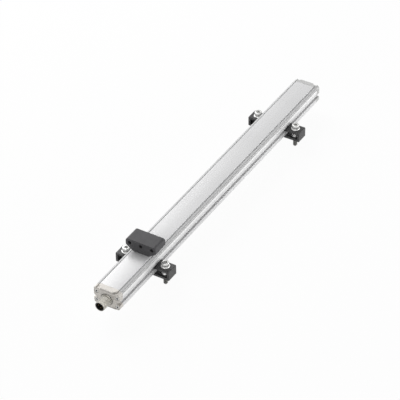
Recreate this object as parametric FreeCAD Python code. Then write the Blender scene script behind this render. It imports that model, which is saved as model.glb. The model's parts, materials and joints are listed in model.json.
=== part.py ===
import FreeCAD, Part
import math
import os

# Magnetostrictive position sensor in an extruded profile housing, with a floating magnet block
# and four mounting clamps. All sizes are millimetres.
#
# Frame: +X runs along the housing from the connector end to the blank end, +Z is up.
# The origin is the centre of the four mounting screws, on the plane of the clamp feet.
# The right-hand side is the one towards -Y.

os.makedirs("parts", exist_ok=True)
V = FreeCAD.Vector

# Overall layout along the housing: the magnet stands at the start of the stroke
null_zone = 78.5                 # from the connector end face to the start of the stroke
measuring_stroke = 300.0
damping_zone = 62.5              # from the end of the stroke to the blank end face
near_clamp_distance = 78.0       # from the connector end face to the first pair of clamps
clamp_pitch_margin = 11.0        # the two pairs of clamps stand this much closer than the stroke

# Housing section: a raised table with a groove beside it on top and below, a sloping shoulder,
# and one side slot on each side that splits the wall into an upper and a lower lobe
housing_half_width = 16.2
housing_bottom = 2.0
table_top = 25.2
table_half_width = 11.5
edge_groove_width = 1.5
edge_groove_floor = 23.3
shoulder_inner_top = 24.5
shoulder_outer_top = 22.7
shoulder_round = 2.2
slot_lip_round = 2.4             # lower corner of the upper lobe
lobe_bottom = 2.9
lobe_round = 2.2
bottom_groove_floor = 3.7
slot_floor_z = 9.3
slot_height = 3.1
slot_depth = 3.0

# Chamber inside the housing
chamber_half_width = 9.0
chamber_bottom = 4.2
chamber_top = 22.4
chamber_round = 2.0

# End caps
cap_thickness = 6.5
cap_edge_chamfer = 0.5
cap_shoulder_round = 3.0         # the lobes of the caps are rounder than those of the housing
cap_slot_lip_round = 2.7
cap_lobe_round = 2.6
cap_table_corner = 4.0           # corners of the raised table, cut off at the outer face
gasket_inner_margin = 0.4        # from the chamber wall to the inside of the gasket
gasket_width = 1.0
gasket_thickness = 1.0
gasket_clearance = 0.05

# Round connector with an M12 thread
connector_z = 12.0
connector_reach = 14.0           # in front of the cap face
connector_radius = 5.9
connector_bore_radius = 5.15
connector_rear_length = 9.4      # behind the cap face
collar_radius = 6.7
collar_height = 0.9              # in front of the cap face
collar_depth = 1.4               # sunk into the cap, with the sealing ring round it
seal_outer_radius = 8.2
seal_thickness = 1.1
connector_fit = 0.05
insert_skirt_wall = 0.75
insert_floor = 7.0               # from the mouth of the connector to the face with the pins
insert_key_width = 1.4
insert_key_height = 0.7
insert_key_angle = 45            # degrees, between two of the pins
pin_radius = 0.4
pin_circle_radius = 2.75
pin_count = 4
pin_tip_back = 1.8               # pin tips lie this far behind the mouth

# Carrier rail in the chamber
carrier_clearance = 0.2
carrier_start = 14.5             # from the connector end face
carrier_end_gap = 9.0
tube_z = 18.4
channel_half_width = 3.3
channel_floor = 15.1
board_bay_half_width = 6.9
board_bay_bottom = 5.8
board_bay_top = 13.4
board_groove_depth = 0.8
board_z = 9.0                    # underside of the circuit board
board_thickness = 1.6
board_groove_clearance = 0.1
board_side_clearance = 0.2
board_length = 112.0
processor = (22.0, 10.0, 10.0, 1.6, 0.0)         # start, length, width, height, y of the middle
pulse_driver = (44.0, 7.0, 6.0, 1.5, -2.2)
voltage_reference = (44.0, 4.0, 3.0, 1.2, 4.2)
inductor = (58.0, 8.0, 8.0, 2.4, 0.0)
amplifier = (74.0, 5.0, 4.0, 1.4, -3.4)
comparator = (74.0, 5.0, 4.0, 1.4, 3.4)
chip_size = 1.6                  # small chips in two rows
chip_height = 0.9
chip_count = 4
chip_start = 88.0
chip_pitch = 5.0
chip_row_y = 3.0
socket_board_half_width = 7.4
socket_board_front = 9.9         # behind the cap face
socket_board_thickness = 1.6

# Measuring element
wire_radius = 0.35
wire_start = 24.0
wire_end_gap = 14.0
tube_radius = 1.8
tube_bore_radius = 0.9
tube_start = 52.0
tube_end_gap = 44.0
return_wire_radius = 0.4
return_wire_z = 15.65
grommet_half_width = 3.2
grommet_length = 4.0
grommet_count = 4
grommet_notch = 1.0              # square notch for the return wire
coil_start = 28.0
bobbin_length = 16.0
bobbin_flange_half = 3.1
bobbin_flange = 1.0
bobbin_core_half = 1.3
bobbin_bore_half = 0.5
winding_half = 2.8
damper_half = 3.1
damper_length = 28.0
damper_slot_half = 0.36

# Floating magnet block
magnet_length = 20.0             # along the housing
magnet_width = 38.0
magnet_height = 14.5
magnet_air_gap = 0.6
magnet_corner_radius = 3.2       # upper corners
magnet_bevel_width = 9.0         # the underside is bevelled so that it clears the shoulders
magnet_bevel_height = 6.2
magnet_bevel_round = 1.2
magnet_hole_radius = 2.1
magnet_hole_pitch = 14.0
magnet_hole_height = 9.6         # above the underside
core_width = 16.0
core_length = 6.0
core_height = 4.0
core_spacing = 8.6
core_clearance = 0.05
cover_width = 18.6
cover_length = 17.0
cover_thickness = 1.4

# Mounting clamps, channels that hook into the side slots and reach under the lower lobes
clamp_length = 15.0
clamp_height = 12.0
clamp_outer_y = 34.0
claw_thickness = 2.6
claw_reach = 2.8                 # into the side slot
foot_thickness = 2.8
foot_reach = 3.0                 # under the lower lobe
clamp_web = 2.6
clamp_outer_round = 0.8
mounting_screw_spacing = 50.0
clamp_hole_radius = 2.75
screw_radius = 2.5               # threaded part, below the foot
screw_shank_radius = 2.3         # smooth part, inside the clamp
screw_thread_start = -0.2
screw_length = 25.0
screw_head_radius = 4.25
screw_head_height = 5.0
screw_socket = 4.0
screw_socket_depth = 2.8
washer_radius = 5.0
washer_bore_radius = 2.65
washer_thickness = 1.0

# Places worked out from the sizes above
sensor_length = null_zone + measuring_stroke + damping_zone
clamp_pitch = measuring_stroke - clamp_pitch_margin
end_face_x = -(near_clamp_distance + clamp_pitch / 2)
far_face_x = end_face_x + sensor_length
housing_start_x = end_face_x + cap_thickness
housing_end_x = far_face_x - cap_thickness
slot_floor_y = housing_half_width - slot_depth
slot_top_z = slot_floor_z + slot_height
groove_outer_y = table_half_width + edge_groove_width


def rounded_wire(points, x):
    """Closed outline in the plane at x from (y, z, corner radius) points, with round corners."""
    edges = []
    starts = []
    ends = []
    middles = []
    count = len(points)
    for i in range(count):
        before = V(x, points[i - 1][0], points[i - 1][1])
        here = V(x, points[i][0], points[i][1])
        after = V(x, points[(i + 1) % count][0], points[(i + 1) % count][1])
        radius = points[i][2]
        to_before = (before - here).normalize()
        to_after = (after - here).normalize()
        if radius == 0:
            starts.append(here)
            ends.append(here)
            middles.append(None)
            continue
        half_angle = to_before.getAngle(to_after) / 2
        setback = radius / math.tan(half_angle)
        bisector = (to_before + to_after).normalize()
        centre = here + bisector * (radius / math.sin(half_angle))
        starts.append(here + to_before * setback)
        ends.append(here + to_after * setback)
        middles.append(centre - bisector * radius)
    for i in range(count):
        if middles[i] is not None:
            edges.append(Part.Arc(starts[i], middles[i], ends[i]).toShape())
        following = starts[(i + 1) % count]
        if (following - ends[i]).Length > 1e-6:
            edges.append(Part.LineSegment(ends[i], following).toShape())
    return Part.Wire(edges)


def prism(points, x_start, x_end):
    """Solid with a (y, z, radius) section, drawn out along X."""
    face = Part.Face(rounded_wire(points, x_start))
    return face.extrude(V(x_end - x_start, 0, 0))


def mirrored(half_section):
    """Whole section from its right half, listed from the top centre to the bottom centre."""
    left = [(-y, z, r) for y, z, r in reversed(half_section)]
    return half_section + left


def rounded_rectangle(half_width, bottom, top, radius):
    return [
        (half_width, top, radius),
        (half_width, bottom, radius),
        (-half_width, bottom, radius),
        (-half_width, top, radius),
    ]


def rod(x_start, x_end, y, z, radius):
    return Part.makeCylinder(radius, x_end - x_start, V(x_start, y, z), V(1, 0, 0))


def post(x, y, z_start, z_end, radius):
    return Part.makeCylinder(radius, z_end - z_start, V(x, y, z_start), V(0, 0, 1))


def hexagon_prism(base, direction, across_flats, height):
    """Hexagonal prism that starts at base and runs along direction."""
    corner = across_flats / math.sqrt(3)
    flat = [V(corner * math.cos(math.radians(60 * i)), corner * math.sin(math.radians(60 * i)), 0)
            for i in range(6)]
    face = Part.Face(Part.makePolygon(flat + [flat[0]]))
    solid = face.extrude(V(0, 0, height))
    turn = FreeCAD.Rotation(V(0, 0, 1), direction)
    solid.Placement = FreeCAD.Placement(base, turn)
    return solid


def edges_in_plane_x(shape, x):
    """Edges that lie wholly in the plane at x."""
    box_margin = 1e-4
    return [e for e in shape.Edges
            if abs(e.BoundBox.XMin - x) < box_margin and abs(e.BoundBox.XMax - x) < box_margin]


def save(shape, node):
    shape.exportStep("parts/" + node + ".step")


# Section of the housing and the caps, which differ only in how round the lobes are
def outer_section(shoulder, lip, lobe):
    right = [
        (table_half_width, table_top, 0),
        (table_half_width, edge_groove_floor, 0),
        (groove_outer_y, edge_groove_floor, 0),
        (groove_outer_y, shoulder_inner_top, 0),
        (housing_half_width, shoulder_outer_top, shoulder),
        (housing_half_width, slot_top_z, lip),
        (slot_floor_y, slot_top_z, 0),
        (slot_floor_y, slot_floor_z, 0),
        (housing_half_width, slot_floor_z, 0),
        (housing_half_width, lobe_bottom, lobe),
        (groove_outer_y, lobe_bottom, 0),
        (groove_outer_y, bottom_groove_floor, 0),
        (table_half_width, bottom_groove_floor, 0),
        (table_half_width, housing_bottom, 0),
    ]
    return mirrored(right)


def chamber_section(margin):
    """Chamber outline, made larger by margin (smaller if it is negative)."""
    return rounded_rectangle(chamber_half_width + margin, chamber_bottom - margin,
                             chamber_top + margin, chamber_round + margin)


def profile_housing():
    section = outer_section(shoulder_round, slot_lip_round, lobe_round)
    body = prism(section, housing_start_x, housing_end_x)
    return body.cut(prism(chamber_section(0), housing_start_x, housing_end_x))


# End caps and their gaskets
def gasket_ring(x_start, x_end, spare):
    """Square-cornered frame round the chamber, made thicker by spare on each side."""
    frame = []
    for margin in (gasket_inner_margin + gasket_width + spare, gasket_inner_margin - spare):
        outline = rounded_rectangle(chamber_half_width + margin, chamber_bottom - margin,
                                    chamber_top + margin, 0)
        frame.append(prism(outline, x_start, x_end))
    return frame[0].cut(frame[1])


def bevelled_block(outer_x, inner_x):
    """Box round the housing section, bevelled along the four edges of its outer face."""
    low = min(outer_x, inner_x)
    block = Part.makeBox(abs(outer_x - inner_x), 2 * housing_half_width, table_top - housing_bottom,
                         V(low, -housing_half_width, housing_bottom))
    return block.makeChamfer(cap_edge_chamfer, edges_in_plane_x(block, outer_x))


def table_corner(outer_x, open_x, side):
    """Wedge over one outer corner of the raised table, down to the floor of its edge groove."""
    spare = 1.0
    edge_y = side * table_half_width
    outside_x = outer_x - open_x * spare
    beyond_y = edge_y + side * spare
    reach = cap_table_corner + spare
    plan = [
        V(outside_x, edge_y - side * reach, edge_groove_floor),
        V(outer_x + open_x * reach, beyond_y, edge_groove_floor),
        V(outside_x, beyond_y, edge_groove_floor),
    ]
    wedge = Part.Face(Part.makePolygon(plan + [plan[0]]))
    return wedge.extrude(V(0, 0, table_top - edge_groove_floor + spare))


def end_cap(outer_x, inner_x, open_x):
    """Cap between its outer face and the housing; open_x is +1 where the housing lies at +X."""
    low = min(outer_x, inner_x)
    high = max(outer_x, inner_x)
    section = outer_section(cap_shoulder_round, cap_slot_lip_round, cap_lobe_round)
    cap = prism(section, low, high).common(bevelled_block(outer_x, inner_x))
    floor_x = inner_x - open_x * gasket_thickness
    groove = gasket_ring(min(floor_x, inner_x), max(floor_x, inner_x), gasket_clearance)
    cap = cap.cut(groove)
    for side in (-1, 1):
        cap = cap.cut(table_corner(outer_x, open_x, side))
    return cap


def connector_end_cap():
    """Cap with a passage for the connector and a seat for its collar and its sealing ring."""
    cap = end_cap(end_face_x, housing_start_x, 1)
    passage = rod(end_face_x, housing_start_x, 0, connector_z, connector_radius + connector_fit)
    seat = rod(end_face_x, end_face_x + collar_depth, 0, connector_z,
               seal_outer_radius + connector_fit)
    return cap.cut(passage).cut(seat)


def blank_end_cap():
    return end_cap(far_face_x, housing_end_x, -1)


def connector_end_gasket():
    return gasket_ring(housing_start_x - gasket_thickness, housing_start_x, 0)


def blank_end_gasket():
    return gasket_ring(housing_end_x, housing_end_x + gasket_thickness, 0)


# Connector: every turned piece is a (distance from the cap face, radius) profile spun round X
def turned(profile, z):
    points = [V(end_face_x + along, 0, z + radius) for along, radius in profile]
    wire = Part.makePolygon(points + [points[0]])
    return Part.Face(wire).revolve(V(end_face_x, 0, z), V(1, 0, 0), 360)


def connector_shell():
    mouth = -connector_reach
    profile = [
        (mouth, connector_bore_radius),
        (mouth, connector_radius),
        (-collar_height, connector_radius),
        (-collar_height, collar_radius),
        (collar_depth, collar_radius),
        (collar_depth, connector_radius),
        (connector_rear_length, connector_radius),
        (connector_rear_length, connector_bore_radius),
    ]
    return turned(profile, connector_z)


def connector_seal():
    """Flat sealing ring round the collar, at the bottom of the seat."""
    inner = collar_radius + connector_fit
    profile = [
        (collar_depth - seal_thickness, inner),
        (collar_depth - seal_thickness, seal_outer_radius),
        (collar_depth, seal_outer_radius),
        (collar_depth, inner),
    ]
    return turned(profile, connector_z)


def connector_insert():
    """Plastic body that holds the pins, with a skirt that lines the shell and a key inside it."""
    mouth = -connector_reach + 0.1
    skirt = connector_bore_radius - connector_fit
    hollow = skirt - insert_skirt_wall
    profile = [
        (mouth, hollow),
        (mouth, skirt),
        (connector_rear_length, skirt),
        (connector_rear_length, 0),
        (-connector_reach + insert_floor, 0),
        (-connector_reach + insert_floor, hollow),
    ]
    insert = turned(profile, connector_z)
    key = Part.makeBox(insert_floor - 0.6, insert_key_width, insert_key_height + insert_skirt_wall / 2,
                       V(end_face_x - connector_reach + 0.6, -insert_key_width / 2,
                         connector_z + hollow - insert_key_height))
    key.rotate(V(0, 0, connector_z), V(1, 0, 0), insert_key_angle)
    insert = insert.fuse(key).removeSplitter()
    for y, z in pin_places():
        insert = insert.cut(rod(end_face_x - connector_reach, end_face_x + connector_rear_length,
                                y, z, pin_radius))
    return insert


def pin_places():
    places = []
    for i in range(pin_count):
        angle = math.radians(360 * i / pin_count)
        places.append((pin_circle_radius * math.cos(angle),
                       connector_z + pin_circle_radius * math.sin(angle)))
    return places


def connector_pins():
    """Straight pins from just behind the mouth to the front of the socket board."""
    start = end_face_x - connector_reach + pin_tip_back
    end = end_face_x + socket_board_front
    return Part.makeCompound([rod(start, end, y, z, pin_radius) for y, z in pin_places()])


# Electronics and carrier in the chamber
def inner_carrier():
    """Rail with an upper channel for the measuring element and a lower bay for the board."""
    start = end_face_x + carrier_start
    end = housing_end_x - carrier_end_gap
    rail = prism(chamber_section(-carrier_clearance), start, end)
    bay = rounded_rectangle(board_bay_half_width, board_bay_bottom, board_bay_top, 0)
    groove = rounded_rectangle(board_bay_half_width + board_groove_depth,
                               board_z - board_groove_clearance,
                               board_z + board_thickness + board_groove_clearance, 0)
    channel = rounded_rectangle(channel_half_width, channel_floor, chamber_top, 0)
    for cutout in (bay, groove, channel):
        rail = rail.cut(prism(cutout, start, end))
    return rail


def circuit_board():
    half = board_bay_half_width + board_groove_depth - board_side_clearance
    start = end_face_x + socket_board_front + socket_board_thickness
    return Part.makeBox(board_length, 2 * half, board_thickness, V(start, -half, board_z))


def socket_board():
    """Upright board on the rear ends of the connector pins."""
    start = end_face_x + socket_board_front
    outline = rounded_rectangle(socket_board_half_width, connector_z - socket_board_half_width,
                                connector_z + socket_board_half_width, 0)
    return prism(outline, start, start + socket_board_thickness)


def board_components():
    """The larger packages and two rows of small chips on the upper side."""
    top = board_z + board_thickness
    start = end_face_x + socket_board_front + socket_board_thickness
    packages = [processor, pulse_driver, voltage_reference, inductor, amplifier, comparator]
    for i in range(chip_count):
        for side in (-1, 1):
            packages.append((chip_start + chip_pitch * i, chip_size, chip_size, chip_height,
                             side * chip_row_y))
    parts = []
    for along, length, width, height, y in packages:
        parts.append(Part.makeBox(length, width, height, V(start + along, y - width / 2, top)))
    return Part.makeCompound(parts)


# Measuring element: wire, tube, return wire, coil and damper in the upper channel
def square_bar(x_start, x_end, half, z):
    return prism(rounded_rectangle(half, z - half, z + half, 0), x_start, x_end)


def waveguide_wire():
    return rod(end_face_x + wire_start, housing_end_x - wire_end_gap, 0, tube_z, wire_radius)


def waveguide_tube():
    start = end_face_x + tube_start
    end = housing_end_x - tube_end_gap
    return rod(start, end, 0, tube_z, tube_radius).cut(rod(start, end, 0, tube_z, tube_bore_radius))


def return_wire():
    start = end_face_x + tube_start - 2
    end = housing_end_x - tube_end_gap + 2
    return rod(start, end, 0, return_wire_z, return_wire_radius)


def tube_grommets():
    """Square rubber blocks that grip the tube, with a notch below for the return wire."""
    grommets = []
    first = end_face_x + tube_start + 4
    last = housing_end_x - tube_end_gap - 4 - grommet_length
    for i in range(grommet_count):
        start = first + (last - first) * i / (grommet_count - 1)
        end = start + grommet_length
        block = square_bar(start, end, grommet_half_width, tube_z)
        block = block.cut(square_bar(start, end, tube_radius, tube_z))
        notch = Part.makeBox(grommet_length, grommet_notch, grommet_notch,
                             V(start, -grommet_notch / 2, tube_z - grommet_half_width))
        grommets.append(block.cut(notch))
    return Part.makeCompound(grommets)


def coil_bobbin():
    """Square spool with a flange at each end, on the front end of the wire."""
    start = end_face_x + coil_start
    end = start + bobbin_length
    spool = square_bar(start, end, bobbin_core_half, tube_z)
    front = square_bar(start, start + bobbin_flange, bobbin_flange_half, tube_z)
    back = square_bar(end - bobbin_flange, end, bobbin_flange_half, tube_z)
    bore = square_bar(start, end, bobbin_bore_half, tube_z)
    return spool.fuse([front, back]).cut(bore).removeSplitter()


def pickup_coil():
    start = end_face_x + coil_start + bobbin_flange
    end = start + bobbin_length - 2 * bobbin_flange
    winding = square_bar(start, end, winding_half, tube_z)
    return winding.cut(square_bar(start, end, bobbin_core_half, tube_z))


def damping_sleeve():
    """Square rubber sleeve on the far end of the wire, closed at its end."""
    end = housing_end_x - wire_end_gap + 2
    start = end - damper_length
    sleeve = square_bar(start, end, damper_half, tube_z)
    return sleeve.cut(square_bar(start, end - 2, damper_slot_half, tube_z))


# Floating magnet block
magnet_x = end_face_x + null_zone
magnet_bottom = table_top + magnet_air_gap


def core_boxes(spare):
    boxes = []
    for side in (-1, 1):
        x = magnet_x + side * core_spacing / 2 - core_length / 2 - spare
        low = V(x, -core_width / 2 - spare, magnet_bottom + cover_thickness)
        boxes.append(Part.makeBox(core_length + 2 * spare, core_width + 2 * spare,
                                  core_height + spare, low))
    return boxes


def cover_plate(spare):
    length = cover_length + 2 * spare
    width = cover_width + 2 * spare
    return Part.makeBox(length, width, cover_thickness,
                        V(magnet_x - length / 2, -width / 2, magnet_bottom))


def magnet_block():
    start = magnet_x - magnet_length / 2
    end = magnet_x + magnet_length / 2
    half = magnet_width / 2
    right = [
        (half, magnet_bottom + magnet_height, magnet_corner_radius),
        (half, magnet_bottom + magnet_bevel_height, magnet_bevel_round),
        (half - magnet_bevel_width, magnet_bottom, magnet_bevel_round),
    ]
    block = prism(mirrored(right), start, end)
    hole_z = magnet_bottom + magnet_hole_height
    for i in (-1, 0, 1):
        block = block.cut(rod(start, end, i * magnet_hole_pitch, hole_z, magnet_hole_radius))
    block = block.cut(cover_plate(core_clearance))
    for pocket in core_boxes(core_clearance):
        block = block.cut(pocket)
    return block


def magnet_cover():
    return cover_plate(0)


def magnet_cores():
    return Part.makeCompound(core_boxes(0))


# Clamps
claw_tip_y = housing_half_width - claw_reach
foot_tip_y = housing_half_width - foot_reach
clamp_inner_y = clamp_outer_y - clamp_web


def clamp(x, side):
    """Channel with its web outside, its upper flange in the side slot and its foot below."""
    claw_bottom = clamp_height - claw_thickness
    section = [
        (claw_tip_y, clamp_height, 0),
        (clamp_outer_y, clamp_height, clamp_outer_round),
        (clamp_outer_y, 0, clamp_outer_round),
        (foot_tip_y, 0, 0),
        (foot_tip_y, foot_thickness, 0),
        (clamp_inner_y, foot_thickness, 0),
        (clamp_inner_y, claw_bottom, 0),
        (claw_tip_y, claw_bottom, 0),
    ]
    section = [(side * y, z, r) for y, z, r in section]
    body = prism(section, x - clamp_length / 2, x + clamp_length / 2)
    hole = post(x, side * mounting_screw_spacing / 2, 0, clamp_height, clamp_hole_radius)
    return body.cut(hole)


def washer(x, side):
    y = side * mounting_screw_spacing / 2
    top = clamp_height + washer_thickness
    return post(x, y, clamp_height, top, washer_radius).cut(
        post(x, y, clamp_height, top, washer_bore_radius))


def mounting_screw(x, side):
    """Socket head cap screw with a smooth shank and its threaded end below the foot."""
    y = side * mounting_screw_spacing / 2
    seat = clamp_height + washer_thickness
    top = seat + screw_head_height
    tip = seat - screw_length
    profile = [
        (0, tip),
        (screw_radius, tip),
        (screw_radius, screw_thread_start),
        (screw_shank_radius, screw_thread_start),
        (screw_shank_radius, seat),
        (screw_head_radius, seat),
        (screw_head_radius, top),
        (0, top),
    ]
    points = [V(x + r, y, z) for r, z in profile]
    face = Part.Face(Part.makePolygon(points + [points[0]]))
    screw = face.revolve(V(x, y, 0), V(0, 0, 1), 360)
    socket = hexagon_prism(V(x, y, top - screw_socket_depth), V(0, 0, 1), screw_socket,
                           screw_socket_depth)
    return screw.cut(socket)


# Write every piece
save(profile_housing(), "profile_housing")
save(connector_end_cap(), "connector_end_cap")
save(blank_end_cap(), "blank_end_cap")
save(connector_end_gasket(), "connector_end_gasket")
save(blank_end_gasket(), "blank_end_gasket")
save(connector_shell(), "connector_shell")
save(connector_seal(), "connector_seal")
save(connector_insert(), "connector_insert")
save(connector_pins(), "connector_pins")
save(socket_board(), "socket_board")
save(circuit_board(), "circuit_board")
save(board_components(), "board_components")
save(inner_carrier(), "inner_carrier")
save(waveguide_wire(), "waveguide_wire")
save(waveguide_tube(), "waveguide_tube")
save(return_wire(), "return_wire")
save(tube_grommets(), "tube_grommets")
save(coil_bobbin(), "coil_bobbin")
save(pickup_coil(), "pickup_coil")
save(damping_sleeve(), "damping_sleeve")
save(magnet_block(), "magnet_block")
save(magnet_cover(), "magnet_cover")
save(magnet_cores(), "magnet_cores")

for end_name, clamp_x in (("near", -clamp_pitch / 2), ("far", clamp_pitch / 2)):
    for side_name, side_sign in (("right", -1), ("left", 1)):
        label = end_name + "_" + side_name
        save(clamp(clamp_x, side_sign), "clamp_" + label)
        save(washer(clamp_x, side_sign), "washer_" + label)
        save(mounting_screw(clamp_x, side_sign), "mounting_screw_" + label)
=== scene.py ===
# %% [markdown]
# A magnetostrictive position sensor: an aluminium rail with a magnet block that floats over it and
# four clamps that hold it down. The CAD model is loaded as a frame that stays where it is. This
# lesson gives each of its pieces a finish, softens their edges and adds the small things, such as
# threads and cap screws, that make it look real.

# %% Load the frame
import json
import math
import bmesh
import bpy
from mathutils import Matrix, Vector


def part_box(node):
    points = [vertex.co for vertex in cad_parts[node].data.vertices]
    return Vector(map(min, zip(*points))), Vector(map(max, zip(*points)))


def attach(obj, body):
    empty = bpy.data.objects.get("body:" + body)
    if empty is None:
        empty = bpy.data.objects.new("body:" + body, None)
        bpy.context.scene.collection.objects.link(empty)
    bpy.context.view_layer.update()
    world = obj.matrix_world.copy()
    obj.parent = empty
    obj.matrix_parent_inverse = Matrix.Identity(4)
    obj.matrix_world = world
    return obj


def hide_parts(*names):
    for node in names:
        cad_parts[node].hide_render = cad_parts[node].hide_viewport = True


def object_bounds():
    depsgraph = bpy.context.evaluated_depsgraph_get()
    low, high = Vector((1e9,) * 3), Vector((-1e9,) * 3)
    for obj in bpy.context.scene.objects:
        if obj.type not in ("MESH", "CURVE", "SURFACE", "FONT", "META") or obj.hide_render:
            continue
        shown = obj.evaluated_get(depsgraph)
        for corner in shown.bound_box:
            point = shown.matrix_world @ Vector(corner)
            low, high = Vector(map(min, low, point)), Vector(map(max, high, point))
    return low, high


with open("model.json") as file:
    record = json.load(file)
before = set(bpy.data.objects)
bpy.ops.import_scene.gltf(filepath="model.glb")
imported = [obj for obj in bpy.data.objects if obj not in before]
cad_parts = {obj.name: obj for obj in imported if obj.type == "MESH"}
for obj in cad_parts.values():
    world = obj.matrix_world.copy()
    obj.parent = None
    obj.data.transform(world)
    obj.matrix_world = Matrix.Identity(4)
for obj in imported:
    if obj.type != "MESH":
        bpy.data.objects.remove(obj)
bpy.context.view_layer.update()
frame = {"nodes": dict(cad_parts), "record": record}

nodes = frame["nodes"]
slot_of = {part["node"]: part["material_slot"] for part in frame["record"]["subparts"]}
body_of = {node: body for body, members in frame["record"]["behaviour"]["bodies"].items()
           for node in members}
clamp_places = ("near_right", "near_left", "far_right", "far_left")
scene = bpy.context.scene
MM = 0.001

# %% [markdown]
# One way to write shader maths so that it reads like maths is to wrap a socket in a small class and
# give it the operators. An expression such as 1 - mask * 0.2 then adds its own Math nodes.

# %% Values
class Value:
    """What a node gives out. With the operators it is used as a number is."""

    def __init__(self, graph, socket):
        self.graph = graph
        self.socket = socket

    def maths(self, operation, *values):
        return self.graph.node("ShaderNodeMath", {"operation": operation},
                               dict(enumerate(values)))

    def most(self, other):
        """The larger of two values."""
        return self.maths("MAXIMUM", self, other)

    def __abs__(self):
        return self.maths("ABSOLUTE", self)

    def __add__(self, other):
        return self.maths("ADD", self, other)

    def __sub__(self, other):
        return self.maths("SUBTRACT", self, other)

    def __rsub__(self, other):
        return self.maths("SUBTRACT", other, self)

    def __mul__(self, other):
        return self.maths("MULTIPLY", self, other)

    def __truediv__(self, other):
        return self.maths("DIVIDE", self, other)

    def __rtruediv__(self, other):
        return self.maths("DIVIDE", other, self)

    def __pow__(self, other):
        return self.maths("POWER", self, other)

    def __rpow__(self, other):
        return self.maths("POWER", other, self)

    __radd__ = __add__
    __rmul__ = __mul__


# %% [markdown]
# Any other node comes from one method. It takes the type of the node, its settings, and what goes
# into its sockets, which is a number, a colour or a Value. The world and every material use it.

# %% Nodes
class Graph:
    """The nodes of the world or of one material."""

    def __init__(self, tree):
        self.tree = tree

    def feed(self, socket, value):
        if isinstance(value, Value):
            self.tree.links.new(value.socket, socket)
        else:
            socket.default_value = value

    def node(self, kind, settings=None, sockets=None, output=0):
        """Adds a node, feeds its sockets and gives back one of its outputs."""
        made = self.tree.nodes.new(kind)
        for key, value in (settings or {}).items():
            setattr(made, key, value)
        for key, value in (sockets or {}).items():
            self.feed(made.inputs[key], value)
        return Value(self, made.outputs[output]) if made.outputs else None

    def ray_is(self, kind):
        """1 for one kind of ray, such as Camera or Glossy, and 0 for the others."""
        return self.node("ShaderNodeLightPath", output="Is %s Ray" % kind)


# %% [markdown]
# Light comes first, because every colour is judged under it. A product picture like this one is lit
# by large soft sources, so the world fills the shadows and a few wide lamps give the form. The
# camera and the reflections see the world as plain white, while its light on the object stays weak.

# %% World
fill_strength = 0.18

scene.view_settings.view_transform = "Standard"
world = bpy.data.worlds.new("studio")
scene.world = world
world.use_nodes = True
world.node_tree.nodes.clear()
studio = Graph(world.node_tree)


def background(strength):
    return studio.node("ShaderNodeBackground", {},
                       {"Color": (1, 1, 1, 1), "Strength": strength})


seen = studio.ray_is("Camera").most(studio.ray_is("Glossy")).most(studio.ray_is("Transmission"))
chosen = studio.node("ShaderNodeMixShader", {},
                     {0: seen, 1: background(fill_strength), 2: background(1.0)})
studio.node("ShaderNodeOutputWorld", {}, {0: chosen})
print("the world lights with %.2f and is seen as 1" % fill_strength)

# %% [markdown]
# The camera stands where the photographer stood. Its turn, its height and the long lens were worked
# out from the ends of the rail and the four washers, whose places on the object are known.

# %% Camera
look_turn = math.radians(58.73)
look_down = math.radians(38.23)
roll = math.radians(0.61)
lens_mm = 202.65
sensor_mm = 36
camera_distance = 2.536
aim_from_cap = 0.227
aim_height = 0.012
shift_right = 0.0178
shift_down = -0.0161

look = Vector((math.sin(look_turn) * math.cos(look_down),
               math.cos(look_turn) * math.cos(look_down), -math.sin(look_down)))
level = Vector((math.cos(look_turn), -math.sin(look_turn), 0))
below = look.cross(level)
right = level * math.cos(roll) + below * math.sin(roll)
down = below * math.cos(roll) - level * math.sin(roll)
cap_face_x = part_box("connector_end_cap")[0].x
aim = Vector((cap_face_x + aim_from_cap, 0, aim_height))
aim = aim - right * shift_right - down * shift_down

camera = bpy.data.objects.new("camera", bpy.data.cameras.new("camera"))
camera.data.lens = lens_mm
camera.data.sensor_width = sensor_mm
turned_to_look = Matrix([(right[i], -down[i], -look[i]) for i in range(3)]).to_4x4()
camera.matrix_world = Matrix.Translation(aim - look * camera_distance) @ turned_to_look
scene.collection.objects.link(camera)
scene.camera = camera
print("camera at", [round(v, 3) for v in camera.matrix_world.translation])

# %% [markdown]
# The lamps are wide, so no shadow has a hard edge. The key lamp stands behind the rail on its left
# and lights the flat table, while the shoulder beside it turns away and stays darker, which is what
# lets the eye read the section of the rail. A second, long lamp stands low on the right and
# brightens the wall, and a weak third one in front opens up the faces that look at the viewer. A
# strength of 1 here lights a face turned to the lamp as a white world would.

# %% Lamps
def lamp(name, towards, distance, width, height, strength):
    light = bpy.data.lights.new(name, "AREA")
    light.shape = "RECTANGLE"
    light.size = width
    light.size_y = height
    light.energy = strength * math.pi ** 2 * distance ** 2
    holder = bpy.data.objects.new(name, light)
    holder.location = Vector(towards).normalized() * distance
    holder.rotation_mode = "QUATERNION"
    holder.rotation_quaternion = (-holder.location).to_track_quat("-Z", "Y")
    scene.collection.objects.link(holder)


lamp("key_behind", (0.30, 0.75, 0.62), distance=1.7, width=1.3, height=1.3, strength=0.88)
lamp("long_low", (0.45, -0.88, 0.16), distance=1.7, width=2.4, height=0.5, strength=0.66)
lamp("front", (-0.90, -0.15, 0.42), distance=1.8, width=1.2, height=0.8, strength=0.24)

# %% [markdown]
# A finish is a material with the detail of a real surface. This class adds to the nodes what a
# maker would ask for: grain of a given size, masks between two heights, one colour over another and
# relief. Place is measured on the object itself, so each pattern keeps its real size and stays put
# when the piece moves.

# %% Finishes
finishes = {}


def grey(level):
    return (level, level, level)


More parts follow.
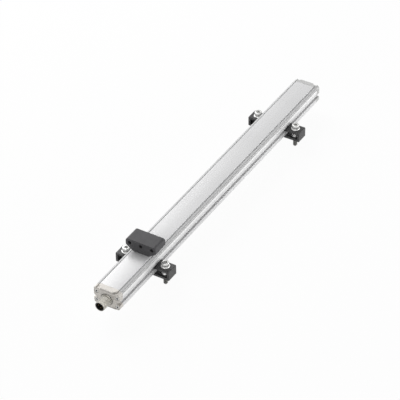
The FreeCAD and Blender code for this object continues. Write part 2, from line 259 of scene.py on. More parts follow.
class Finish(Graph):
    """A material being made, named after the finish that it gives."""

    def __init__(self, name, **constants):
        self.name = name
        self.material = bpy.data.materials.new(name + "_finish")
        self.material.use_nodes = True
        super().__init__(self.material.node_tree)
        self.shader = self.tree.nodes["Principled BSDF"]
        for title, value in constants.items():
            self.shader.inputs[title.replace("_", " ")].default_value = value
        self.place = self.node("ShaderNodeTexCoord", output="Object")

    def spread(self, value, low, high, out_low=0.0, out_high=1.0):
        """The part of a value between low and high, stretched over a new range."""
        return self.node("ShaderNodeMapRange", {"clamp": True},
                         {"Value": value, "From Min": low, "From Max": high,
                          "To Min": out_low, "To Max": out_high})

    def rising(self, place, start_mm, end_mm):
        """A mask that goes from 0 to 1 between two places."""
        return self.spread(place, start_mm * MM, end_mm * MM)

    def falling(self, place, start_mm, end_mm):
        """A mask that goes from 1 to 0 between two places."""
        return self.spread(place, start_mm * MM, end_mm * MM, 1, 0)

    def part_of_place(self, axis):
        """One coordinate of the place on the object."""
        return self.node("ShaderNodeSeparateXYZ", {}, {0: self.place}, output=axis)

    def vector(self, operation, *values, output=0):
        return self.node("ShaderNodeVectorMath", {"operation": operation},
                         dict(enumerate(values)), output)

    def grain(self, size_mm, stretch=(1, 1, 1), detail=2.0):
        """Soft noise with features of about this size, longer where stretch is more than 1."""
        factors = tuple(1 / (MM * size_mm * s) for s in stretch)
        return self.node("ShaderNodeTexNoise", {},
                         {"Vector": self.vector("MULTIPLY", self.place, factors), "Scale": 1.0,
                          "Detail": detail})

    def stripes(self, axis, scale, distortion=0.0):
        """Waves along one axis. The place is read in millimetres here."""
        return self.node("ShaderNodeTexWave", {"bands_direction": axis},
                         {"Vector": self.vector("MULTIPLY", self.place, (1 / MM,) * 3),
                          "Scale": scale, "Distortion": distortion})

    def blend(self, mask, under, over):
        """The colour under where the mask is 0, and the colour over where it is 1."""
        if isinstance(under, tuple):
            under = (*under, 1)
        # The Mix node takes its two colours in sockets 6 and 7 and gives one out in socket 2.
        return self.node("ShaderNodeMix", {"data_type": "RGBA"},
                         {0: mask, 6: under, 7: (*over, 1)}, output=2)

    def bumps(self, height, depth_mm, under=None):
        """Surface relief: depth_mm is how far it rises where the height goes from 0 to 1."""
        sockets = {"Height": height, "Distance": depth_mm * MM}
        if under is not None:
            sockets["Normal"] = under
        return self.node("ShaderNodeBump", {}, sockets)

    def dress(self, colour, roughness, normal):
        for title, value in (("Base Color", colour), ("Roughness", roughness),
                             ("Normal", normal)):
            self.feed(self.shader.inputs[title], value)
        finishes[self.name] = self.material
        print(self.name, "has", len(self.tree.nodes), "nodes")


# %% [markdown]
# The floor is pale and matt. Seen straight or in the polished metal it is nearly white, as a lit
# table in a studio is, and a part of its own colour is kept so that the shadow stays on it.

# %% Floor
floor_reach = 3.0
glow_share = 0.95
floor_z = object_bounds()[0].z

corners = [(x * floor_reach, y * floor_reach, floor_z)
           for x, y in ((-1, -1), (1, -1), (1, 1), (-1, 1))]
sheet = bpy.data.meshes.new("floor")
sheet.from_pydata(corners, [], [(0, 1, 2, 3)])
floor = bpy.data.objects.new("floor", sheet)
scene.collection.objects.link(floor)

lit_table = Finish("lit_table", Base_Color=(0.90, 0.90, 0.90, 1), Roughness=0.9)
glow_mask = (lit_table.ray_is("Camera") + lit_table.ray_is("Glossy")) * glow_share
matt = Value(lit_table, lit_table.shader.outputs[0])
glow = lit_table.node("ShaderNodeEmission", {}, {"Color": (1, 1, 1, 1), "Strength": 1.0})
shown = lit_table.node("ShaderNodeMixShader", {}, {0: glow_mask, 1: matt, 2: glow})
lit_table.feed(lit_table.tree.nodes["Material Output"].inputs["Surface"], shown)
sheet.materials.append(lit_table.material)
print("floor at z = %.4f m" % floor_z)

# %% [markdown]
# The housing is an aluminium extrusion with a clear anodised skin. The die leaves fine lines along
# it, so the noise is stretched more than a hundred times along X and moves the colour, the
# roughness and the relief a little. A second, broad noise keeps the long faces from looking like
# one flat tint.

# %% Anodised extrusion
line_width = 0.25
line_stretch = 160

anodised = Finish("anodised_housing", Metallic=0.15, IOR=1.45)
die_lines = anodised.grain(line_width, stretch=(line_stretch, 1, 1), detail=3.0)
die_bands = anodised.grain(2.2, stretch=(120, 1, 1))
clouds = anodised.grain(26, stretch=(2.5, 1, 1), detail=3.0)
specks = anodised.spread(anodised.grain(0.35, detail=1.0), 0.72, 0.82)
tone = anodised.spread(die_lines * 0.20 + die_bands * 0.35 + clouds * 0.45, 0.36, 0.64)
skin = anodised.blend(tone, (0.715, 0.715, 0.72), (0.765, 0.765, 0.77))
print("die lines %.2f mm wide and about %.0f mm long" % (line_width, line_width * line_stretch))

# %% [markdown]
# The sloping shoulders turn away from the light, and their skin is painted a shade darker as
# painted shade, most at their rim. The rounded corner below them is painted near white as a
# painted highlight, and the side slots are painted darker inside as painted shade. The masks are
# read from the place on the object, in millimetres across from the middle of the rail and upward
# from the clamps' feet.

# %% Shoulders, corners and slots
shoulder_y = 12.6
shoulder_z = 21.8
rim_low, rim_high = 21.0, 21.4
slot_low, slot_high = 9.1, 12.6
slot_mouth_y = 16.1

across = abs(anodised.part_of_place("Y"))
upward = anodised.part_of_place("Z")
# Painted shade: the sloping shoulders, which turn away from the light, are painted darker.
shoulder_painted_shade = (anodised.rising(across, shoulder_y, shoulder_y + 0.8)
            * anodised.rising(upward, shoulder_z, shoulder_z + 0.4))
skin = anodised.blend(shoulder_painted_shade * 0.60, skin, grey(0.53))
# Painted highlight: the rounded corner under each shoulder is painted near white.
corner = (anodised.rising(across, 14.9, 15.6) * anodised.rising(upward, 16.5, 19.5)
          * anodised.falling(upward, rim_low, rim_high))
skin = anodised.blend(corner, skin, grey(0.98))
# Painted shade: a strip along the rim of each shoulder is painted darker.
painted_rim_shade = anodised.rising(across, 14.3, 15.2) * anodised.rising(upward, rim_low, rim_high)
skin = anodised.blend(painted_rim_shade * 0.62, skin, grey(0.34))
# Painted shade: the side slots are painted darker inside.
painted_slot_shade = (anodised.falling(across, slot_mouth_y - 0.2, slot_mouth_y)
             * anodised.falling(upward, slot_high - 0.3, slot_high)
             * anodised.rising(upward, slot_low, slot_low + 0.3))
skin = anodised.blend(painted_slot_shade * 0.45, skin, grey(0.30))
skin = anodised.blend(specks * 0.25, skin, grey(0.52))
print("shoulders from %.1f mm out, slots from %.1f to %.1f mm up"
      % (shoulder_y, slot_low, slot_high))

# %% [markdown]
# A wide extruded face is never quite flat. A crown of about half a millimetre is drawn as relief,
# and it makes the table a little darker on the side that leans away from the key lamp. The die
# lines and bands are drawn in the same way, but less than a thousandth of a millimetre deep.

# %% Relief of the rail
crown_height = 0.6

crown = 1 - (across / (shoulder_y * MM)) ** 2
relief = anodised.bumps(crown, crown_height)
relief = anodised.bumps(die_bands, 0.0008, relief)
relief = anodised.bumps(die_lines, 0.0003, relief)
anodised.dress(skin, 0.34 + tone * 0.06 - corner * 0.06 + specks * 0.06, relief)

# %% [markdown]
# The end caps are die cast, tumbled and clear coated, so they are a little warmer and duller than
# the rail, with a sandy grain instead of lines. The cap with the connector has a warmer coat than
# the other one, so one function makes both.

# %% Cast caps
def cast_metal(name, dark, light, pore):
    cast = Finish(name, Metallic=0.30, IOR=1.40)
    sand = cast.grain(0.45, detail=3.0)
    patches = cast.grain(6, detail=3.0)
    pores = cast.spread(cast.grain(0.8, detail=1.0), 0.68, 0.78)
    body_tone = cast.spread(sand * 0.4 + patches * 0.6, 0.36, 0.64)
    cast.dress(cast.blend(pores * 0.4, cast.blend(body_tone, dark, light), pore),
               0.46 + body_tone * 0.12, cast.bumps(sand, 0.02, cast.bumps(patches, 0.05)))


cast_metal("cast_cap", (0.57, 0.545, 0.51), (0.66, 0.635, 0.60), (0.40, 0.38, 0.355))
cast_metal("cast_blank_cap", (0.49, 0.49, 0.485), (0.57, 0.57, 0.565), (0.36, 0.36, 0.355))

# %% [markdown]
# The clamps are short lengths of a black anodised channel with a blasted skin. A fine noise lets a
# lighter grey through on the tops of its grain, and saw lines cross the section.

# %% Black clamps
black = Finish("black_clamp", Metallic=0.10, IOR=1.5)
scuff_field = black.grain(0.75, detail=3.0)
scuffs = black.spread(scuff_field, 0.48, 0.64)
hair_lines = black.grain(0.2, stretch=(60, 1, 1), detail=2.0)
rubbed = black.spread(hair_lines, 0.54, 0.74)
black_coat = black.blend(black.spread(black.grain(3.5, detail=3.0), 0.35, 0.65),
                         (0.010, 0.010, 0.011), (0.032, 0.032, 0.033))
black.dress(black.blend(scuffs * 0.40 + rubbed * 0.10, black_coat, (0.115, 0.115, 0.113)),
            0.36 + scuffs * 0.16 + rubbed * 0.08,
            black.bumps(hair_lines, 0.004, black.bumps(scuff_field, 0.03)))

# %% [markdown]
# The screws and washers are stainless steel, and turned faces have rings round their axis. The
# rings are a noise that is read by the distance from the axis of the nearest screw, which is worked
# out from the object's own coordinates: all four screws stand at the same distance from the middle.
# Below the clamps' feet the screw tips are painted dark, as painted shade under the clamps.

# %% Stainless steel
washer_low, washer_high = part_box("washer_far_left")
screw_x = (washer_low.x + washer_high.x) / 2
screw_y = (washer_low.y + washer_high.y) / 2
rings_per_metre = 6000
print("screws stand at x %.4f and y %.4f m from the middle" % (screw_x, screw_y))


def stainless(name, dark, light, smooth, shaded_below=None):
    steel = Finish(name, Metallic=0.85)
    folded = steel.vector("ABSOLUTE", steel.place)
    from_axis = steel.vector("SUBTRACT", folded, (screw_x, screw_y, 0))
    radius = steel.vector("LENGTH", steel.vector("MULTIPLY", from_axis, (1, 1, 0)),
                          output="Value")
    rings = steel.node("ShaderNodeTexNoise", {"noise_dimensions": "1D"},
                       {"W": radius * rings_per_metre, "Scale": 1.0, "Detail": 2.0})
    stains = steel.grain(1.4, detail=4.0)
    mixed = steel.spread(rings * 0.5 + stains * 0.5, 0.36, 0.64)
    colour = steel.blend(mixed, dark, light)
    if shaded_below is not None:
        # Painted shade: below the clamps' feet the screws fade to a dark colour (0.15, 0.147,
        # 0.135).
        painted_tip_shade = steel.falling(steel.part_of_place("Z"), shaded_below - 1, shaded_below + 1)
        colour = steel.blend(painted_tip_shade * (0.95 - stains * 0.5), colour, (0.15, 0.147, 0.135))
    steel.dress(colour, smooth + stains * 0.16,
                steel.bumps(rings, 0.0012, steel.bumps(stains, 0.004)))


stainless("stainless_screw", (0.46, 0.46, 0.45), (0.78, 0.78, 0.77), smooth=0.16, shaded_below=0.0)
stainless("stainless_washer", (0.86, 0.86, 0.86), (0.96, 0.96, 0.95), smooth=0.26)

# %% [markdown]
# The connector sleeve is brass with a nickel plating, a little yellow and soft in its shine, and
# the pins are gold plated. Clouds from the plating bath vary their tone.

# %% Plated metals
nickel = Finish("nickel_plated_brass", Metallic=0.85)
plating = nickel.grain(0.9, detail=4.0)
bath_marks = nickel.grain(5, detail=2.0)
plate_tone = nickel.spread(plating * 0.5 + bath_marks * 0.5, 0.36, 0.64)
nickel.dress(nickel.blend(plate_tone, (0.41, 0.395, 0.36), (0.55, 0.535, 0.495)),
             0.30 + plating * 0.16, nickel.bumps(plating, 0.004))

gold = Finish("gold_plated_pin", Metallic=1.0)
gold_tone = gold.grain(0.5, detail=3.0)
gold.dress(gold.blend(gold_tone, (0.30, 0.19, 0.08), (0.46, 0.32, 0.14)), 0.28 + gold_tone * 0.12,
           gold.bumps(gold_tone, 0.001))

# %% [markdown]
# Moulded plastic and rubber take the grain of their mould, and the melt leaves broad flow marks in
# the tone. The magnet block is a dark grey rather than black, and its edges catch a soft light,
# because its spark eroded grain spreads it. The pieces inside the rail are never seen unless
# someone opens it, but they get the same care.

# %% Plastics and rubbers
def plastic(name, dark, light, grain_mm, depth_mm, rough, shine=1.5):
    moulded = Finish(name, Metallic=0.0, IOR=shine)
    fine = moulded.grain(grain_mm, detail=3.0)
    flow = moulded.grain(grain_mm * 18, detail=2.0)
    shade = moulded.spread(fine * 0.45 + flow * 0.55, 0.36, 0.64)
    moulded.dress(moulded.blend(shade, dark, light), rough + fine * 0.14,
                  moulded.bumps(fine, depth_mm, moulded.bumps(flow, depth_mm * 2)))


plastic("connector_plastic", grey(0.008), grey(0.018), 0.25, 0.004, rough=0.42)
plastic("black_rubber", grey(0.014), grey(0.030), 0.30, 0.008, rough=0.60)
plastic("magnet_plastic", (0.044, 0.043, 0.046), (0.066, 0.065, 0.069), 0.40, 0.010,
        rough=0.50, shine=1.42)
plastic("magnet_core", (0.030, 0.030, 0.034), (0.060, 0.060, 0.066), 0.35, 0.010, rough=0.55)
plastic("component_black", grey(0.012), grey(0.035), 0.20, 0.004, rough=0.50)
plastic("carrier_plastic", (0.54, 0.52, 0.46), (0.66, 0.64, 0.58), 0.60, 0.010, rough=0.42)
plastic("tube_plastic", (0.70, 0.70, 0.67), (0.82, 0.82, 0.80), 0.50, 0.006, rough=0.34)
plastic("grommet_rubber", grey(0.05), grey(0.09), 0.35, 0.012, rough=0.62)
plastic("bobbin_plastic", grey(0.06), grey(0.11), 0.35, 0.006, rough=0.44)

# %% [markdown]
# Two finishes of the inside are built from waves. The boards show the weave of their glass cloth
# through the green mask, and wire is drawn or wound in even turns.

# %% Boards and wires
weave_scale = 0.35
waves_per_turn = 0.314

laminate = Finish("circuit_laminate", Metallic=0.0)
weave = laminate.stripes("X", weave_scale) * 0.5 + laminate.stripes("Y", weave_scale) * 0.5
mask_tone = laminate.spread(weave * 0.5 + laminate.grain(3) * 0.5, 0.25, 0.75)
laminate.dress(laminate.blend(mask_tone, (0.018, 0.115, 0.050), (0.034, 0.190, 0.085)),
               0.28 + weave * 0.10, laminate.bumps(weave, 0.01))


def drawn_wire(name, dark, light, rough, turns_mm):
    wire = Finish(name, Metallic=1.0)
    turns = wire.stripes("X", waves_per_turn / turns_mm, distortion=0.3)
    marks = wire.grain(0.3, stretch=(20, 1, 1))
    shade = wire.spread(turns * 0.5 + marks * 0.5, 0.2, 0.8)
    wire.dress(wire.blend(shade, dark, light), rough + marks * 0.12, wire.bumps(turns, 0.02))


drawn_wire("copper_wire", (0.40, 0.16, 0.07), (0.72, 0.36, 0.20), rough=0.26, turns_mm=0.12)
drawn_wire("waveguide_alloy", (0.46, 0.46, 0.45), (0.66, 0.66, 0.65), rough=0.22, turns_mm=4.0)

# %% [markdown]
# Every CAD node now takes the finish of its slot in the record. The node's object is left where it
# is: only the material in its slot changes.

# %% Dress every node
for name, node in nodes.items():
    node.material_slots[0].material = finishes[slot_of[name]]
print("dressed", len(nodes), "nodes")

# %% [markdown]
# A CAD node is left alone, so a piece is shaped on a copy of its mesh. The mesh comes as triangles:
# they are welded, and those of one flat face are joined into one. The copy stands for the node,
# rides on the node's body and takes its slot.

# %% Copies that can be shaped
weld_mm = 0.002
flat_within = math.radians(1)


def put_in_scene(shape, name):
    """Makes an object of a shape, which is used up."""
    mesh = bpy.data.meshes.new(name)
    shape.to_mesh(mesh)
    shape.free()
    piece = bpy.data.objects.new(name, mesh)
    scene.collection.objects.link(piece)
    return piece


def cleaned_copy(node, name):
    shape = bmesh.new()
    shape.from_mesh(nodes[node].data)
    bmesh.ops.remove_doubles(shape, verts=shape.verts, dist=weld_mm * MM)
    bmesh.ops.dissolve_limit(shape, angle_limit=flat_within, verts=shape.verts,
                             edges=shape.edges)
    piece = put_in_scene(shape, name)
    piece.data.materials.append(finishes[slot_of[node]])
    return piece


def stand_in(piece, node):
    """Gives a piece the body of the node that it replaces, and hides the node."""
    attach(piece, body_of[node])
    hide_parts(node)


# %% [markdown]
# Real edges are never sharp. A bevel rounds each edge that turns by more than 30 degrees, and
# normals weighted by area keep the large faces flat. Rounding the edge with a Bevel node in the
# material is simpler, but the mesh would stay sharp, so the shape is made here.

# %% Softened edges
edge_from = math.radians(30)


def bake(piece):
    """Works the modifiers of a piece into its mesh."""
    bpy.context.view_layer.update()
    shaped = bpy.data.meshes.new_from_object(
        piece.evaluated_get(bpy.context.evaluated_depsgraph_get()))
    piece.modifiers.clear()
    piece.data = shaped


def soften(piece, width_mm, steps=3):
    edge = piece.modifiers.new("edge", "BEVEL")
    edge.width = width_mm * MM
    edge.segments = steps
    edge.limit_method = "ANGLE"
    edge.angle_limit = edge_from
    even = piece.modifiers.new("even", "WEIGHTED_NORMAL")
    even.mode = "FACE_AREA"
    even.weight = 100
    piece.data.shade_smooth()
    bake(piece)


def softened(node, width_mm, steps=3):
    piece = cleaned_copy(node, node + "_soft")
    soften(piece, width_mm, steps)
    stand_in(piece, node)
    print(piece.name, "has", len(piece.data.polygons), "faces")


softened("profile_housing", width_mm=0.22)
softened("magnet_block", width_mm=0.45, steps=4)
softened("connector_insert", width_mm=0.12, steps=2)
for place in clamp_places:
    softened("clamp_" + place, width_mm=0.28)
    softened("washer_" + place, width_mm=0.34, steps=4)

# %% [markdown]
# Screws and sleeves are turned on a lathe, so they are made as rings of points round an axis. A row
# gives the height and the radius of a ring in millimetres, and the radius may change round the
# ring, which also makes hexagon sockets and knurled heads.

# %% Turned shapes
def point(shape, turn, radius, height):
    """Adds a point to a shape, at a turn round Z and at a radius and a height in millimetres."""
    reach = radius * MM
    return shape.verts.new((reach * math.cos(turn), reach * math.sin(turn), height * MM))


def turned(rows, steps):
    """Mesh from (height, radius) rows round Z. A radius may be a function of the turn."""
    shape = bmesh.new()
    turns = [2 * math.pi * i / steps for i in range(steps)]
    rings = []
    for height, radius in rows:
        if radius == 0:
            rings.append([point(shape, 0, 0, height)])
        elif callable(radius):
            rings.append([point(shape, turn, radius(turn), height) for turn in turns])
        else:
            rings.append([point(shape, turn, radius, height) for turn in turns])
    for low, high in zip(rings, rings[1:]):
        for i in range(steps):
            j = (i + 1) % steps
            loop = [low[i % len(low)], low[j % len(low)], high[j % len(high)], high[i % len(high)]]
            shape.faces.new([v for k, v in enumerate(loop) if v not in loop[:k]])
    return shape


def hexagon(across_flats):
    """Radius of a hexagon as a function of the turn."""
    side = math.pi / 3
    return lambda turn: across_flats / 2 / math.cos((turn + side / 2) % side - side / 2)


def knurled(radius, depth, ridges):
    """Radius of a ridged cylinder as a function of the turn."""
    return lambda turn: radius - depth * abs(math.sin(ridges * turn / 2))


print("a 4 mm hexagon reaches %.2f mm at its corners" % hexagon(4)(math.pi / 6))

# %% [markdown]
# A thread is one ridge that winds round the rod. Four lines, two at the root and two at the crest,
# wind up together by one pitch a turn, and the faces between them make the flanks. Both ends fade
# into the root, as a rolled thread does.

# %% Threads
same_point_mm = 0.0005
line_places = (0.0, 0.12, 0.5, 0.62)
fade_turns = 0.8


def threaded(shape, start, end, crest, root, pitch, steps):
    """Adds a thread between two heights to a shape, in millimetres."""
    radii = (root, root, crest, crest)
    line_count = len(line_places)
    points = line_count * (int((end - start) / pitch) + 3)
    columns = []
    for i in range(steps):
        column = []
        for k in range(points):
            climb, line = divmod(k, line_count)
            height = start + pitch * (climb - 1 + line_places[line] + i / steps)
            height = min(max(height, start), end)
            fade = min(1, (height - start) / (fade_turns * pitch),
                       (end - height) / (fade_turns * pitch))
            column.append(point(shape, 2 * math.pi * i / steps,
                                root + (radii[line] - root) * fade, height))
        columns.append(column)
    # The last column meets the first one a turn later, where every line has climbed by one pitch.
    for i in range(steps):
        after = columns[i + 1] if i + 1 < steps else columns[0][line_count:]
        for k in range(points - line_count - 1):
            shape.faces.new((columns[i][k], after[k], after[k + 1], columns[i][k + 1]))
    bmesh.ops.remove_doubles(shape, verts=shape.verts, dist=same_point_mm * MM)


# %% [markdown]
# Shapes are made one at a time, joined, and only then become a piece. The normals are turned
# outwards, and shading breaks at edges sharper than 32 degrees, so sockets and rims stay crisp.

# %% From shapes to pieces
sharp_from = math.radians(32)


def joined(shapes):
    """One shape out of several, which are used up."""
    whole = bmesh.new()
    for shape in shapes:
        part = bpy.data.meshes.new("part")
        shape.to_mesh(part)
        shape.free()
        whole.from_mesh(part)
        bpy.data.meshes.remove(part)
    return whole


def as_piece(shape, name, finish):
    bmesh.ops.remove_doubles(shape, verts=shape.verts, dist=same_point_mm * MM)
    bmesh.ops.recalc_face_normals(shape, faces=shape.faces)
    piece = put_in_scene(shape, name)
    piece.data.shade_smooth()
    piece.data.set_sharp_from_angle(angle=sharp_from)
    piece.data.materials.append(finishes[finish])
    return piece


def put_over(shape, node):
    """Moves a shape sideways to the middle of a node."""
    low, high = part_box(node)
    bmesh.ops.translate(shape, verts=shape.verts,
                        vec=((low.x + high.x) / 2, (low.y + high.y) / 2, 0))
    return shape


# %% [markdown]
# The four mounting screws are M5 socket head cap screws: a knurled head with a hexagon socket, a
# smooth shank and a rolled thread at the tip. Head, socket and thread have the sizes of the
# standard, in millimetres. The smooth shank ends just under the clamps' feet.

# %% Sizes of the mounting screws
head_height = 5.0
head_radius = 4.25
socket_width = 4.0
socket_depth = 2.8
shank_radius = 2.3
grip_end = -0.2
thread_crest = 2.5
thread_root = 2.05
thread_pitch = 0.8
tip_radius = 1.7
tip_chamfer = 0.5
knurl_depth = 0.14
knurl_ridges = 48
head_steps = 4 * knurl_ridges
thread_steps = 40
print("heads %.1f mm wide, threads %.1f mm" % (2 * head_radius, 2 * thread_crest))

# %% [markdown]
# One row of rings runs from the bottom of the socket over the head and down the shank, and the
# thread and the tip follow. Where a screw stands is read from the node that it replaces.

# %% Mounting screws
def mounting_screw(node):
    low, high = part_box(node)
    top = high.z / MM
    seat = top - head_height
    tip = low.z / MM
    ridge = knurled(head_radius, knurl_depth, knurl_ridges)
    rod = turned([
        (top - socket_depth - 0.9, 0),
        (top - socket_depth, hexagon(socket_width * 0.96)),
        (top - socket_depth + 0.05, hexagon(socket_width)),
        (top - 0.25, hexagon(socket_width)),
        (top, socket_width / 2 * 1.20),
        (top, head_radius - 0.62),
        (top - 0.10, head_radius - 0.38),
        (top - 0.34, head_radius - 0.20),
        (top - 0.62, ridge),
        (seat + 0.42, ridge),
        (seat + 0.20, head_radius - 0.18),
        (seat, head_radius - 0.40),
        (seat, shank_radius + 0.25),
        (seat - 0.30, shank_radius),
        (grip_end, shank_radius),
        (grip_end, thread_root),
    ], head_steps)
    threaded(rod, tip + tip_chamfer, grip_end, thread_crest, thread_root, thread_pitch,
             thread_steps)
    end = turned([(tip, 0), (tip, tip_radius), (tip + tip_chamfer, thread_root)], thread_steps)
    piece = as_piece(put_over(joined([rod, end]), node), node + "_turned", slot_of[node])
    stand_in(piece, node)
    return piece


screws = [mounting_screw("mounting_screw_" + place) for place in clamp_places]
print("screw faces:", [len(s.data.polygons) for s in screws])

# %% [markdown]
# Two small rings go with each screw. A black collar lies round the washer: it is the rim of a bush
# that keeps the screw from touching the clamp. A bright, sloping ring lies on the foot of the
# channel and keeps the loose screw from falling out of the clamp before it is fitted.

# %% Collars and retaining rings
clamp_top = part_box("clamp_near_right")[1].z / MM
foot_top = 2.8
collar_inner, collar_outer = 5.04, 5.78
keeper_inner, keeper_outer = 2.36, 4.2
ring_steps = 64


def ring(name, node, rows, slot_name):
    shape = put_over(turned(rows, ring_steps), "washer_" + node)
    piece = as_piece(shape, name + "_" + node, slot_name)
    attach(piece, body_of["clamp_" + node])


collar_rows = [
    (clamp_top, collar_inner), (clamp_top + 0.24, collar_inner), (clamp_top + 0.3, 5.16),
    (clamp_top + 0.3, 5.62), (clamp_top + 0.2, collar_outer), (clamp_top, collar_outer),
    (clamp_top, collar_inner),
]
keeper_rows = [
    (foot_top, keeper_inner), (foot_top + 1.5, keeper_inner), (foot_top + 1.6, 2.5),
    (foot_top + 1.6, 2.9), (foot_top + 0.45, 4.15), (foot_top, keeper_outer),
    (foot_top, keeper_inner),
]
for place in clamp_places:
    ring("washer_collar", place, collar_rows, "bobbin_plastic")
    ring("screw_keeper", place, keeper_rows, "stainless_washer")
print("collars on clamps %.1f mm high, rings on feet %.1f mm thick" % (clamp_top, foot_top))

# %% [markdown]
# The connector sleeve has an M12 thread with a pitch of 1 mm over most of its reach, a plain lip at
# the mouth and a flange that seats in the cap. It lies along X, so it is made round Z, with its
# places along X as heights, and laid down.

# %% Connector sleeve
shell_low, shell_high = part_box("connector_shell")
connector_z = (shell_low.z + shell_high.z) / 2
mouth = shell_low.x / MM
root_end = shell_high.x / MM
cap_face = cap_face_x / MM
thread_start = mouth + 0.7
thread_end = cap_face - 1.9
bore, lip, neck, flange = 5.15, 5.75, 5.7, 6.7
sleeve_crest, sleeve_root, sleeve_pitch = 5.9, 5.35, 1.0
flange_seat = 1.4
sleeve_steps = 96


def laid_down(shape, y=0.0, z=0.0):
    """Turns a shape from Z to X, at a place in millimetres beside the connector's axis."""
    tip_over = Matrix(((0, 0, 1, 0), (0, 1, 0, 0), (-1, 0, 0, 0), (0, 0, 0, 1)))
    spot = Matrix.Translation((0, y * MM, connector_z + z * MM))
    bmesh.ops.transform(shape, matrix=spot @ tip_over, verts=shape.verts)
    return shape


front = turned([
    (root_end, bore), (mouth + 0.25, bore), (mouth, 5.32), (mouth, 5.52), (mouth + 0.25, lip),
    (thread_start - 0.1, lip), (thread_start, sleeve_root),
], sleeve_steps)
rear = turned([
    (thread_end, sleeve_root), (thread_end + 0.1, neck), (cap_face - 0.9, neck),
    (cap_face - 0.9, flange - 0.25), (cap_face - 0.68, flange), (cap_face + flange_seat, flange),
    (cap_face + flange_seat, sleeve_crest), (root_end, sleeve_crest), (root_end, bore),
], sleeve_steps)
sleeve = joined([front, rear])
threaded(sleeve, thread_start, thread_end, sleeve_crest, sleeve_root, sleeve_pitch,
         sleeve_steps)
stand_in(as_piece(laid_down(sleeve), "connector_shell_threaded", "nickel_plated_brass"),
         "connector_shell")
print("thread of %.1f mm on the sleeve" % (thread_end - thread_start))

# %% [markdown]
# The sealing ring lies in a groove of the cap, pressed flat by the flange of the sleeve. Only a
# narrow dark lip of it is seen, so it is turned as a small ring with a round lip.

# %% Sealing ring
seal_inner, seal_outer = 6.72, 7.3
lip_height = 0.3
seal_low, seal_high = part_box("connector_seal")
lip_face = seal_low.x / MM
seal_back = seal_high.x / MM
seal_middle = (seal_inner + seal_outer) / 2
seal_half = (seal_outer - seal_inner) / 2

seal_rows = [(seal_back, seal_inner), (lip_face + 0.1, seal_inner)]
seal_rows += [(lip_face + lip_height * (1 - math.sin(a)), seal_middle - seal_half * math.cos(a))
              for a in (0.4, 1.0, math.pi / 2, 2.14, 2.74)]
seal_rows += [(lip_face + lip_height, seal_outer), (seal_back, seal_outer),
              (seal_back, seal_inner)]
seal = laid_down(turned(seal_rows, sleeve_steps))
stand_in(as_piece(seal, "connector_seal_lip", "black_rubber"), "connector_seal")
print("seal shows %.2f mm outside the flange" % (seal_outer - flange))

# %% [markdown]
# The four pins end in a round nose, which guides the cable's socket. One row of rings gives the
# rounded rod, and it is turned again at each of the four places.

# %% Pins
pin_low, pin_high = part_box("connector_pins")
pin_count = 4
pin_radius = 0.4
pin_steps = 24
pin_ring = (pin_high.y - pin_low.y) / 2 / MM - pin_radius
nose_start = pin_low.x / MM
pin_end = pin_high.x / MM

pin_rows = [(nose_start + pin_radius * (1 - math.cos(a)), pin_radius * math.sin(a))
            for a in (0, 0.35, 0.7, 1.05, 1.4, math.pi / 2)]
pin_rows += [(pin_end, pin_radius), (pin_end, 0)]
turns = [2 * math.pi * i / pin_count for i in range(pin_count)]
pins = joined([laid_down(turned(pin_rows, pin_steps),
                         pin_ring * math.cos(a), pin_ring * math.sin(a)) for a in turns])
stand_in(as_piece(pins, "connector_pins_round", "gold_plated_pin"), "connector_pins")
print("pins stand on a ring of radius %.2f mm" % pin_ring)

# %% [markdown]
# Each cap is held by four small socket screws, whose heads sit in round recesses in the lobes. The
# recesses are cut from the cap with a boolean before its edges are softened, so that the rims of
# the recesses are rounded too. A turned shape is laid into the cap's outer face, with its height
# running inwards.

# %% Tools for the caps
def set_in_face(shape, face_x, y, z, inward):
    tip_over = Matrix(((0, 0, inward, 0), (0, 1, 0, 0), (1, 0, 0, 0), (0, 0, 0, 1)))
    spot = Matrix.Translation((face_x, y * MM, z * MM))
    bmesh.ops.transform(shape, matrix=spot @ tip_over, verts=shape.verts)
    return shape


def worked(cap, shapes, operation):
    """Cuts shapes out of a cap or joins them to it."""
    whole = joined(shapes)
    bmesh.ops.recalc_face_normals(whole, faces=whole.faces)
    tool = put_in_scene(whole, "tool")
    step = cap.modifiers.new("step", "BOOLEAN")
    step.operation = operation
    step.solver = "EXACT"
    step.object = tool
    bake(cap)
    bpy.data.objects.remove(tool)


# %% [markdown]
# The same step closes the groove round the sealing ring, which is wider in the CAD model, with a
# ring of the cap's own metal.

# %% Caps with recesses
recess_y = 13.0
recess_heights = (18.0, 6.3)
recess_radius = 2.35
recess_depth = 2.4
drill_steps = 40
recess_places = [(y, z) for y in (-recess_y, recess_y) for z in recess_heights]
groove_inner = seal_outer + 0.05
groove_outer = 8.3
far_face_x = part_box("blank_end_cap")[1].x


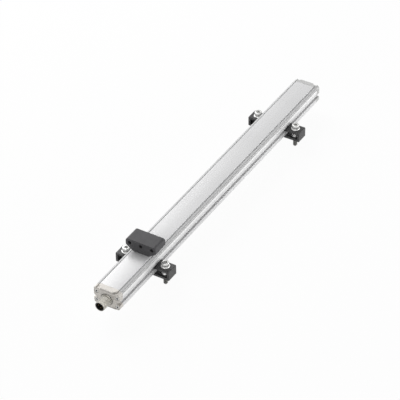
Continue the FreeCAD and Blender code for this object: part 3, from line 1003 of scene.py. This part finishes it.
def finished_cap(node, face_x, inward, finish):
    cap = cleaned_copy(node, node + "_cast")
    drill_rows = [(-1, 0), (-1, recess_radius), (recess_depth, recess_radius), (recess_depth, 0)]
    drills = [set_in_face(turned(drill_rows, drill_steps), face_x, y, z, inward)
              for y, z in recess_places]
    worked(cap, drills, "DIFFERENCE")
    if node == "connector_end_cap":
        closing = turned([(0, groove_inner), (0, groove_outer), (flange_seat, groove_outer),
                          (flange_seat, groove_inner), (0, groove_inner)], sleeve_steps)
        bmesh.ops.remove_doubles(closing, verts=closing.verts, dist=same_point_mm * MM)
        worked(cap, [set_in_face(closing, face_x, 0, connector_z / MM, inward)], "UNION")
    cap.data.materials.clear()
    cap.data.materials.append(finishes[finish])
    soften(cap, width_mm=0.30)
    stand_in(cap, node)
    print(cap.name, "has", len(cap.data.polygons), "faces")


finished_cap("connector_end_cap", cap_face_x, 1, "cast_cap")
finished_cap("blank_end_cap", far_face_x, -1, "cast_blank_cap")

# %% [markdown]
# The sockets of the small screws are dark inside, as little light falls into them, and this shade
# is painted. Their finish measures how far a point lies below the cap's outer face and paints the
# deeper parts dark.

# %% Finish of the cap screws
sink = 0.45
half_length = (far_face_x - cap_face_x) / 2
middle_x = (far_face_x + cap_face_x) / 2

socket_steel = Finish("cap_screw_steel", Metallic=0.8)
depth = half_length - abs(socket_steel.part_of_place("X") - middle_x)
# Painted shade: the parts deeper than the head's face are painted dark.
painted_socket_shade = socket_steel.rising(depth, sink + 0.12, sink + 0.4)
turning = socket_steel.grain(0.4, detail=3.0)
bare_steel = socket_steel.blend(turning, (0.80, 0.80, 0.79), (0.94, 0.94, 0.93))
socket_steel.dress(socket_steel.blend(painted_socket_shade * 0.85, bare_steel, (0.05, 0.05, 0.048)),
                   0.28 + turning * 0.16 + painted_socket_shade * 0.2, socket_steel.bumps(turning, 0.003))

# %% [markdown]
# A cap screw shows only its head, so only the head is turned: a knurled rim, a rounded edge and a
# hexagon socket. Four of them make one piece for each cap.

# %% Cap screws
cap_socket = 2.4
cap_head_radius = 2.18
cap_knurl_depth = 0.07
cap_ridges = 24
cap_head_steps = 4 * cap_ridges
cap_rim = knurled(cap_head_radius, cap_knurl_depth, cap_ridges)
cap_head_rows = [
    (sink + 1.55, 0), (sink + 1.3, hexagon(cap_socket - 0.05)),
    (sink + 0.12, hexagon(cap_socket)), (sink, 1.45), (sink, 1.78), (sink + 0.10, 2.0),
    (sink + 0.3, cap_rim), (recess_depth, cap_rim), (recess_depth, 0),
]


def cap_screws(name, face_x, inward):
    """Four socket heads, sunk a little below the face of the cap."""
    heads = [set_in_face(turned(cap_head_rows, cap_head_steps), face_x, y, z, inward)
             for y, z in recess_places]
    piece = as_piece(joined(heads), name, "cap_screw_steel")
    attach(piece, "sensor")
    print(name, "have", len(piece.data.polygons), "faces")


cap_screws("connector_cap_screws", cap_face_x, 1)
cap_screws("blank_cap_screws", far_face_x, -1)
